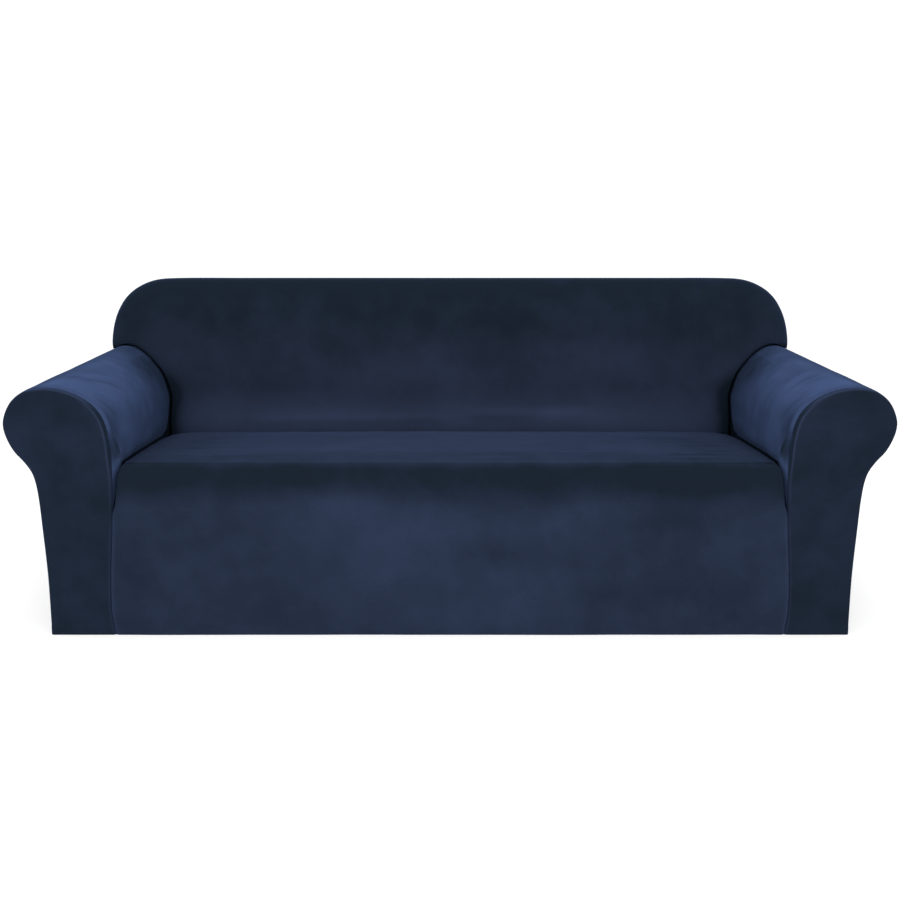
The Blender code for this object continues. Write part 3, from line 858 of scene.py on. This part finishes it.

# Face of the back: x, up, half width, half height, amount. The one low at x 0.31 is a painted
# highlight on the low fold, and the one at x 0.80 painted shade beside the right arm.
BACK_TONES = (
    (-0.10, 0.575, 0.13, 0.05, 0.05), (0.40, 0.61, 0.12, 0.05, 0.06),
    (0.26, 0.62, 0.05, 0.09, 0.035), (0.31, 0.433, 0.11, 0.015, 0.32),
    (-0.64, 0.49, 0.05, 0.03, 0.035), (-0.38, 0.44, 0.28, 0.03, 0.06),
    (0.80, 0.43, 0.14, 0.05, -0.20), (0.0, 0.72, 0.13, 0.05, -0.045),
    (-0.285, 0.62, 0.12, 0.05, -0.045), (0.40, 0.545, 0.04, 0.03, -0.035),
    (-0.36, 0.465, 0.06, 0.02, -0.04), (-0.5, 0.64, 0.2, 0.06, 0.02), (0.56, 0.58, 0.1, 0.08, 0.02),
)


def seat_tone_and_shade(x, depth, z, a, b):
    """Drop with painted shade below its rounded edge, seat lighter to the rear, and painted shade in
    the creases.
    """
    drop = 0.56 + patches(x, z, DROP_TONES)
    # Painted shade on the drop below the seat's rounded edge, lightening again over the edge.
    drop = drop - 0.62 * blend(0.318, 0.405, z) + 0.28 * blend(0.414, 0.431, z)
    seat = 0.55 - 0.12 * blend(0.07, 0.02, depth) + patches(x, depth, SEAT_TONES)
    # Seat lighter to the rear, with a painted highlight on the cross folds' ridges and painted shade
    # in their hollows.
    seat = seat + 0.26 * blend(0.36, 0.53, depth) + 0.9 * wrinkles(x, depth)
    top = blend(0.0105, 0.0150, depth)
    reach = from_side(x, depth, z)
    # Painted highlight along the drop's side edges.
    drop += 0.70 * bell(np.maximum(reach, 0), 0.006) * blend(0.32, 0.28, z)
    # Painted shade in the creases beside the arms.
    crease = fall(reach - 0.013 * top, 0.010 + 0.006 * top) * blend(0.31, 0.37, z)
    tone = (drop + (seat - drop) * top) - (0.6 + 0.6 * top) * crease
    # Painted shade in the seat's rear corners.
    return tone - 0.35 * rear_corner(x, depth)


def slots_seat(x, depth, z, a, b):
    """0 for the front drop, 1 for the seat, 2 for the painted crease shade in the tucks."""
    reach = from_side(x, depth, z)
    tuck = reach < 0.0030 + 0.0004 * blend(0.006, 0.03, depth)
    return np.where(tuck & (z > 0.325), 2, depth > 0.0135)


def relief_back(x, depth, z, a, b):
    """Low swelling, sunk along the arms, with two creases low on the face."""
    near = blend(0.60, 0.585, depth)
    inner = near * blend(0.86, 0.76, np.abs(a))
    lift = (0.0012 * cloud(a, b, 0.17, 7) + 0.0005 * cloud(a, b, 0.07, 8)) * inner
    d = from_arm(x, z)
    low = blend(0.60, 0.50, z)
    sink = (0.0018 + 0.0092 * low) * bell(d, 0.010 + 0.032 * low)
    lift -= sink * shut(depth, x, z)
    lift += near * fold(x, z, (0.02, 0.438), (0.43, 0.443), 0.015, 0.0040, 0.2)
    lift += near * fold(x, z, (-0.62, 0.420), (0.05, 0.426), 0.012, 0.0020, 0.2)
    return lift


def back_tone_and_shade(x, depth, z, a, b):
    """Lighter from the top down to the seat, with painted shadow along the arms."""
    tone = 0.040 - 0.050 * blend(0.74, 0.80, z)
    tone = tone + 0.235 * blend(0.74, 0.52, z) + 0.375 * blend(0.53, 0.42, z)
    # Painted shade along the crease above the seat, and the tone patches.
    tone = tone - 0.05 * blend(0.404, 0.396, z) + patches(x, z, BACK_TONES)
    d = from_arm(x, z)
    # Painted shadow on the face beside the arms, darkest towards their foot.
    tone -= 0.80 * bell(d, 0.032) * blend(0.57, 0.49, z)
    return tone - 0.2 * bell(d, 0.010)


def slots_back(x, depth, z, a, b):
    """1 for the painted crease shade in the tucks beside the arms."""
    reach = 0.0022 + 0.0100 * blend(0.92, 0.955, np.abs(x)) + 0.0020 * blend(0.58, 0.50, z)
    return (from_arm(x, z) < reach) & (z < 0.66) & (depth < 0.66)


# Pressed pile on the arms, dark or light. Side, start and end as (a, b), width, amount.
MARKS = (
    (-1, (0.110, 0.668), (0.235, 0.560), 0.0075, -0.30),
    (-1, (0.150, 0.672), (0.270, 0.575), 0.0090, 0.18),
    (-1, (0.060, 0.640), (0.130, 0.560), 0.0080, 0.16),
    (-1, (0.105, 0.690), (0.160, 0.655), 0.0050, -0.35),
    (-1, (0.040, 0.600), (0.090, 0.520), 0.0060, -0.20),
    (-1, (0.300, 0.640), (0.360, 0.540), 0.0120, -0.14),
    (1, (0.170, 0.690), (0.150, 0.560), 0.0085, -0.32),
    (1, (0.205, 0.680), (0.190, 0.560), 0.0090, 0.18),
    (1, (0.095, 0.660), (0.090, 0.560), 0.0070, 0.16),
    (1, (0.330, 0.640), (0.350, 0.560), 0.0120, -0.16),
    (1, (0.050, 0.600), (0.095, 0.520), 0.0060, -0.18),
    (1, (0.240, 0.600), (0.250, 0.500), 0.0100, -0.10),
)


def crush(x, a, b):
    """Pressed pile on the arm that x lies on."""
    total = 0.0
    for side, start, end, width, amount in MARKS:
        total += (np.sign(x) == side) * fold(a, b, start, end, width, amount)
    return total


def relief_arm(x, depth, z, a, b):
    """Slight swelling and pressed marks, held flat at the seams and beside the seat."""
    free = blend(0.014, 0.05, a) * blend(0.56, 0.50, a)
    lift = 0.0006 * cloud(a, b, 0.12, 11) + 0.0002 * cloud(a, b, 0.05, 12)
    lift = (lift + 0.0030 * crush(x, a, b)) * free
    foot = seat_level(depth) - z
    pressed = 0.0030 * blend(-0.012, 0.006, foot) * blend(0.034, 0.018, foot)
    lift -= pressed * (b < 0.55) * blend(0.02, 0.06, a)
    return lift + hem(np.where(b > 0.9, z, 1.0))


def arm_tone_and_shade(x, depth, z, a, b):
    # Painted light over the roll, and painted shade along it towards the rear.
    over, inner = blend(0.50, 0.60, z), b < 0.62
    base = 0.40 + inner * (0.40 * blend(0.03, 0.12, a) - 0.14)
    tone = base + over * (1.02 - base - 0.15 * blend(0.03, 0.22, a) - 0.46 * blend(0.26, 0.52, a))
    tone = tone + 0.12 * cloud(a, b, 0.09, 21) + 0.10 * cloud(a, b, 0.035, 22) + crush(x, a, b)
    # Painted shade on the inner side: low, to the rear, close above the seat, and in the front
    # corner, with a painted highlight along its one fold.
    low = inner * blend(0.47, 0.43, z)
    tone -= 0.25 * low * blend(0.45, 0.405, z) * blend(0.14, 0.20, a)
    tone -= 0.46 * inner * blend(0.300, 0.580, a) * blend(0.66, 0.55, z)
    tone -= 0.40 * bump(0.466, 0.038, z) * bump(0.018, 0.024, a) * inner
    tone += 0.40 * fold(a, z, (0.045, 0.474), (0.006, 0.400), 0.0080, 1.0, 0.2) * inner
    close = fall(z - seat_level(depth), 0.009)
    tone -= 0.90 * inner * close * blend(0.04, 0.10, a) * blend(0.56, 0.54, a)
    # Strip behind the front seam with a painted highlight and a painted dark smudge in it, and
    # painted shade in the seam itself.
    ridge = blend(0.012, 0.020, a) * blend(0.10, 0.05, a) * low
    strip = blend(0.032, 0.018, a) * blend(0.0095, 0.0120, a) * (1 - ridge)
    tone_and_shade = 0.85 - 0.70 * bump(0.468, 0.062, z) - 0.35 * blend(0.410, 0.380, z)
    tone += (tone_and_shade - tone) * strip * blend(0.99, 0.90, b)
    tone -= 0.9 * blend(0.0115, 0.0090, a)
    # Painted shade against the back, and an even darker tone on the outer side of the roll that
    # paints its shade.
    tone -= 0.40 * blend(0.562, 0.590, a) * (z > 0.4) * blend(0.975, 0.955, np.abs(x))
    outer = 0.16 + 0.05 * cloud(a, b, 0.12, 26) + 0.02 * cloud(a, b, 0.05, 27)
    return tone + (outer - tone) * blend(0.685, 0.745, b + 0.09 * a)


def slots_arm(x, depth, z, a, b):
    """1 for the painted crease shade in the tucks against the back and beside the seat, and in the
    corner between them.
    """
    x = np.abs(x)
    behind = face_at(np.clip(z, 0.36, 0.66)) - 0.003 - depth
    above = z - seat_level(depth) + TUCKED
    corner = np.maximum(1 - behind / 0.090, 0) ** 2 + np.maximum(1 - above / 0.046, 0) ** 2
    crease = (behind < 0) & (x < STAND_OUT)
    beside_seat = ((corner > 1) | (above < 0)) & (b < 0.55) & (depth > 0.035)
    return (crease | beside_seat) & (b < 0.95)


def welt(x, z):
    """1 along the turned-in seam allowance of a front panel, below 0 in the dip outside it."""
    d, half = from_seam(x, z) - 0.0025 - 0.0040 * blend(0.38, 0.46, z), 0.0026
    return (bell(d, half) - 0.6 * bell(d + 0.0055, half)) * blend(0.605, 0.570, z)


def relief_front(x, depth, z, a, b):
    """Low swelling with the welt beside the seam."""
    inner = blend(1.04, 0.96, np.abs(x)) * blend(0.10, 0.30, z)
    lift = 0.0010 * cloud(a, b, 0.10, 15) + 0.0008 * inner * welt(x, z)
    return lift * (depth < 0.001) + hem(z)


def front_tone_and_shade(x, depth, z, a, b):
    """Dark pile, with a painted highlight along the seam and painted highlight and shade on the
    welt.
    """
    d, inner = from_seam(x, z), blend(1.04, 0.96, np.abs(x))
    tone = 0.15 + 0.08 * cloud(a, b, 0.08, 23) + 0.06 * blend(0.40, 0.50, z)
    tone += (0.90 * blend(0.54, 0.59, z) - 0.06) * inner * blend(0.0055, 0.0020, d)
    beside = blend(0.88, 0.84, np.abs(x))
    tone += 0.45 * beside * blend(0.32, 0.28, z) * blend(0.0065, 0.0025, d)
    return tone + 0.50 * inner * (beside + 0.3) * blend(0.28, 0.38, z) * welt(x, z)


def relief_rear(x, depth, z, a, b):
    return 0.0018 * cloud(a, b, 0.20, 19) * (depth > DEPTH - 0.001) + hem(z)


def nap_rear(x, depth, z, a, b):
    return 0.40 + 0.20 * cloud(a, b, 0.22, 24) + 0.10 * cloud(a, b, 0.09, 25)


# Velvet.

DEEP_TONE, LIGHT_TONE = (0.0060, 0.0097, 0.0162), (0.0160, 0.0230, 0.0462)
# ARM_LIGHT is the arm's lightest tone, reached by its painted light over the roll.
BACK_LIGHT, ARM_LIGHT = (0.0290, 0.0400, 0.0790), (0.0320, 0.0502, 0.1125)
# Light tone of the sheenless cloth that paints the shade deep in the tucks.
CREASE_SHADE_TONE = (0.0060, 0.0098, 0.0168)
SHEEN, SEAT_SHEEN, ARM_SHEEN = (0.30, 0.48, 1.0), (0.34, 0.48, 1.0), (0.28, 0.44, 0.96)
SPECK = ((0.80, 0.80, 0.80), (1.16, 1.16, 1.16))   # darkest and lightest grain
GRAIN, BRUSHED = 900.0, 30.0                       # fineness of the pile and of its tufts

# Clouds in the nap. Scale, detail, roughness, noise's low and high, strength.
NAP_CLOUDS = ((4.0, 2.0, 0.50, 0.34, 0.66, 0.08), (14.0, 3.0, 0.60, 0.30, 0.70, 0.09))


def velvet(name, seed, sheen, tint=SHEEN, light=LIGHT_TONE, mottle=1.0, pressed=1.0):
    """Short pile: two tones mixed by a tone attribute that holds the brushed pile's tone and painted
    light and shade, a fine grain, and a sheen at its edges.
    """
    material = bpy.data.materials.new(name)
    material.use_nodes = True
    nodes, links = material.node_tree.nodes, material.node_tree.links

    def fill(made, values):
        """Set a node's sockets, by name or number, or link them to outputs."""
        for key, value in values.items():
            if isinstance(value, bpy.types.NodeSocket):
                links.new(value, made.inputs[key])
            else:
                made.inputs[key].default_value = value
        return made

    def node(kind, values, **settings):
        made = nodes.new("ShaderNode" + kind)
        for key, value in settings.items():
            setattr(made, key, value)
        return fill(made, values)

    place = node("TexCoord", {}).outputs["Object"]
    shift = {"Vector": place, "Location": (seed * 3.1, seed * 1.7, seed * 2.3)}
    place = node("Mapping", shift).outputs["Vector"]

    def noise(size, detail, rough, twist=0.0):
        values = {"Scale": size, "Detail": detail, "Roughness": rough, "Distortion": twist}
        return node("TexNoise", {"Vector": place, **values}).outputs["Fac"]

    def span(value, low, high, start, end):
        ends = {"From Min": low, "From Max": high, "To Min": start, "To Max": end}
        made = node("MapRange", {"Value": value, **ends}, interpolation_type="SMOOTHSTEP")
        return made.outputs["Result"]

    def mix(kind, factor, first, second):
        made = node("Mix", {}, data_type="RGBA", blend_type=kind, clamp_factor=True)
        for key, value in (("Factor", factor), ("A", first), ("B", second)):
            number = [i for i, v in enumerate(made.inputs) if v.name == key and v.enabled][0]
            fill(made, {number: value + (1.0,) if isinstance(value, tuple) else value})
        return [v for v in made.outputs if v.enabled][0]

    def raised(height, strength, distance, **under):
        values = {"Height": height, "Strength": strength, "Distance": distance}
        return node("Bump", {**values, **under}).outputs["Normal"]

    # Tone of the pile with its painted light and shade, read from the mesh.
    tone_and_shade = node("Attribute", {}, attribute_type="GEOMETRY", attribute_name="nap_and_shade")
    nap_and_shade = tone_and_shade.outputs["Fac"]
    for size, detail, rough, low, high, strength in NAP_CLOUDS:
        patch = span(noise(size, detail, rough), low, high, -strength * mottle, strength * mottle)
        nap_and_shade = node("Math", {0: nap_and_shade, 1: patch}, operation="ADD").outputs[0]
    colour = mix("MIX", nap_and_shade, DEEP_TONE, light)
    # pressed sets how much darker than the deep tone the painted shade goes where the tone falls
    # below 0.
    shaded = tuple(pressed * tone for tone in DEEP_TONE)
    colour = mix("MIX", span(nap_and_shade, -0.8, 0.0, 0.0, 1.0), shaded, colour)
    grain = noise(GRAIN, 2.0, 0.7)
    speck = mix("MIX", span(grain, 0.30, 0.70, 0.0, 1.0), *SPECK)
    pile = raised(grain, 0.30, 0.0005)
    tufts = raised(noise(BRUSHED, 2.0, 0.5, 0.2), 0.25, 0.0020, Normal=pile)
    fill(nodes["Principled BSDF"], {
        "Base Color": mix("MULTIPLY", 1.0, colour, speck), "Normal": tufts, "Roughness": 0.92,
        "Specular IOR Level": 0.0, "Sheen Weight": sheen, "Sheen Roughness": 0.42,
        "Sheen Tint": tint + (1.0,),
    })
    return material


drop_cloth = velvet("velvet_drop", 1, 0.14)
# The seat's painted crease shade goes well below its deep tone.
seat_cloth = velvet("velvet_seat", 1, 0.07, SEAT_SHEEN, pressed=0.2)
back_cloth = velvet("velvet_back", 2, 0.12, light=BACK_LIGHT, mottle=0.45)
arm_cloth = velvet("velvet_arm", 3, 0.10, ARM_SHEEN, ARM_LIGHT, mottle=0.6)
front_cloth = velvet("velvet_arm_front", 4, 0.14)
rear_cloth = velvet("velvet_rear", 5, 0.14)
# Sheenless dark cloth that paints the shade deep in the tucks.
crease_shade_cloth = velvet("velvet_crease_shade", 6, 0.0, light=CREASE_SHADE_TONE)

sew("seat_front", seat_front(), relief_seat, seat_tone_and_shade, (drop_cloth, seat_cloth, crease_shade_cloth),
    split=slots_seat)
sew("inside_back", inside_back(), relief_back, back_tone_and_shade, (back_cloth, crease_shade_cloth),
    split=slots_back)
sew("outside_back", outside_back(), relief_rear, nap_rear, (rear_cloth,),
    flip=True)
for side, label in ((-1, "left"), (1, "right")):
    sew("arm_cover_" + label, arm_cover(side), relief_arm, arm_tone_and_shade, (arm_cloth, crease_shade_cloth),
        flip=side < 0, split=slots_arm)
    sew("arm_front_" + label, arm_front(side), relief_front, front_tone_and_shade, (front_cloth,),
        flip=side < 0)


# Floor, light and camera.

FAR, UNDER_X, UNDER_Y = 30.0, 0.980, 0.438    # half sizes of the floor and of what is covered
FLOOR = -0.0005   # height of the floor, just under the hem
FLOOR_GREY, FLOOR_GLOW = 0.55, 0.46
STUDIO = 1.08     # strength of the white surroundings
EYE_BACK, EYE_UP, EYE_TILT = 2.5493, 1.0619, 13.142   # from the front plane, up, degrees down
LENS, SENSOR = 44.28, 36.0

# Place, aim, size and power of each lamp.
LAMPS = {
    "softbox_front": ((0.0, -5.4, 1.5), (0.0, 0.0, 0.45), (4.0, 2.0), 190.0),
    "softbox_top": ((0.0, -0.4, 3.4), (0.0, 0.1, 0.4), (3.4, 2.0), 40.0),
}


def build_floor():
    """A pale ring that lights itself a little, round the plain floor that the cover hides."""
    corners = [(-1, -1), (1, -1), (1, 1), (-1, 1)]
    ground = [(FAR * x, FAR * y, FLOOR) for x, y in corners]
    ground += [(UNDER_X * x, UNDER_Y * y, FLOOR) for x, y in corners]
    ring = [(i, (i + 1) % 4, (i + 1) % 4 + 4, i + 4) for i in range(4)]
    mesh = bpy.data.meshes.new("floor")
    mesh.from_pydata(ground, [], ring + [(4, 5, 6, 7)])
    for name, glow in (("pale_floor", FLOOR_GLOW), ("covered_floor", 0.0)):
        material = bpy.data.materials.new(name)
        material.use_nodes = True
        inputs = material.node_tree.nodes["Principled BSDF"].inputs
        inputs["Base Color"].default_value = (FLOOR_GREY, FLOOR_GREY, FLOOR_GREY, 1.0)
        inputs["Roughness"].default_value = 0.9
        inputs["Emission Color"].default_value = (1.0, 1.0, 1.0, 1.0)
        inputs["Emission Strength"].default_value = glow
        mesh.materials.append(material)
    mesh.polygons[4].material_index = 1
    floor = put("floor", mesh)


def light_studio():
    """White surroundings and two lamps, each turned from its place to its aim."""
    world = bpy.data.worlds.new("studio")
    world.use_nodes = True
    sky = world.node_tree.nodes["Background"].inputs
    sky["Color"].default_value, sky["Strength"].default_value = (1.0, 1.0, 1.0, 1.0), STUDIO
    bpy.context.scene.world = world
    for name, (place, aim, size, power) in LAMPS.items():
        light = bpy.data.lights.new(name, "AREA")
        light.shape = "RECTANGLE"
        light.size, light.size_y = size
        light.energy = power
        lamp = put(name, light)
        lamp.location = place
        away = [a - b for a, b in zip(place, aim)]
        tilt = math.atan2(math.hypot(away[0], away[1]), away[2])
        lamp.rotation_euler = (tilt, 0.0, math.atan2(away[0], -away[1]))


def place_camera():
    """Straight in front, above the sofa and looking down."""
    eye = bpy.data.cameras.new("camera")
    eye.lens, eye.sensor_width = LENS, SENSOR
    camera = put("camera", eye)
    camera.location = (0.0, -DEPTH / 2 - EYE_BACK, EYE_UP)
    camera.rotation_euler = (math.radians(90 - EYE_TILT), 0.0, 0.0)
    bpy.context.scene.camera = camera


build_floor()
light_studio()
place_camera()
bpy.context.scene.view_settings.view_transform = "Standard"
